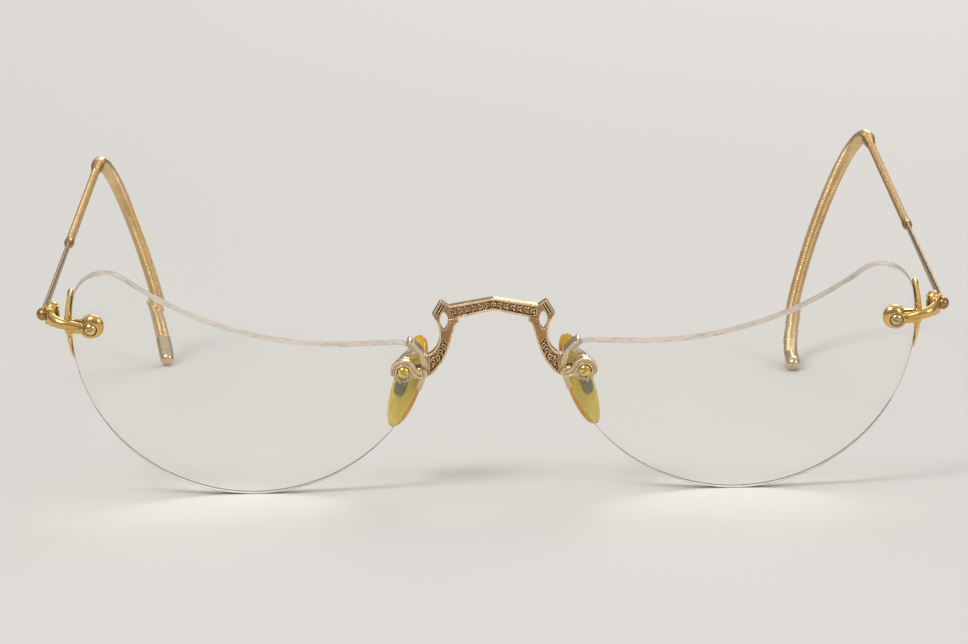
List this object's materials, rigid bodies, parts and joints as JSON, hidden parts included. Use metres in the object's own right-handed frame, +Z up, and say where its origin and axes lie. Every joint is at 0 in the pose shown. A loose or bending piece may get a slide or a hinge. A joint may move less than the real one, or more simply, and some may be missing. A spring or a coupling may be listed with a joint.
{
  "type": "half-moon reading spectacles",
  "caption": "Rimless half-moon reading spectacles with an engraved arch bridge, amber nose pads and folding temples that end in ear hooks.",
  "frame": {"origin": "on the table under the middle of the spectacles, as they stand open on the lens bottoms and the temple tips", "axes": "+X to the right as seen from the front, +Y back towards the ears, +Z up"},
  "size_m": [0.1182, 0.1208, 0.0354],
  "materials": {
    "yellow_gold": "polished gold-filled metal, worn to a soft shine",
    "pale_gold": "pale gold-filled metal, polished",
    "rose_gold": "engraved and slightly tarnished gold-filled metal",
    "glass": "clear polished faces and a finely ground edge",
    "amber": "translucent polished celluloid"
  },
  "bodies": {
    "front": {"bridge": "rose_gold", "nose_strap_left": "pale_gold", "nose_strap_right": "pale_gold", "guard_arm_left": "pale_gold", "guard_arm_right": "pale_gold", "pad_plate_left": "pale_gold", "pad_plate_right": "pale_gold", "nose_pad_left": "amber", "nose_pad_right": "amber", "lens_left": "glass", "lens_right": "glass", "nose_screw_left": "yellow_gold", "nose_screw_right": "yellow_gold", "end_screw_left": "pale_gold", "end_screw_right": "pale_gold", "end_piece_left": "yellow_gold", "end_piece_right": "yellow_gold", "hinge_screw_left": "yellow_gold", "hinge_screw_right": "yellow_gold"},
    "temple_left": {"temple_shank_left": "yellow_gold", "cable_ferrule_left": "yellow_gold", "temple_cable_left": "yellow_gold", "ear_bow_left": "yellow_gold", "bow_cap_left": "yellow_gold"},
    "temple_right": {"temple_shank_right": "yellow_gold", "cable_ferrule_right": "yellow_gold", "temple_cable_right": "yellow_gold", "ear_bow_right": "yellow_gold", "bow_cap_right": "yellow_gold"}
  },
  "joints": [
    {"name": "temple_fold_left", "type": "hinge", "parent": "front", "child": "temple_left", "pos_m": [-0.0571, -0.05563, 0.02427], "axis": [0, 0.0872, -0.9962], "range_deg": [0, 82]},
    {"name": "temple_fold_right", "type": "hinge", "parent": "front", "child": "temple_right", "pos_m": [0.0571, -0.05563, 0.02427], "axis": [0, -0.0872, 0.9962], "range_deg": [0, 80]}
  ]
}
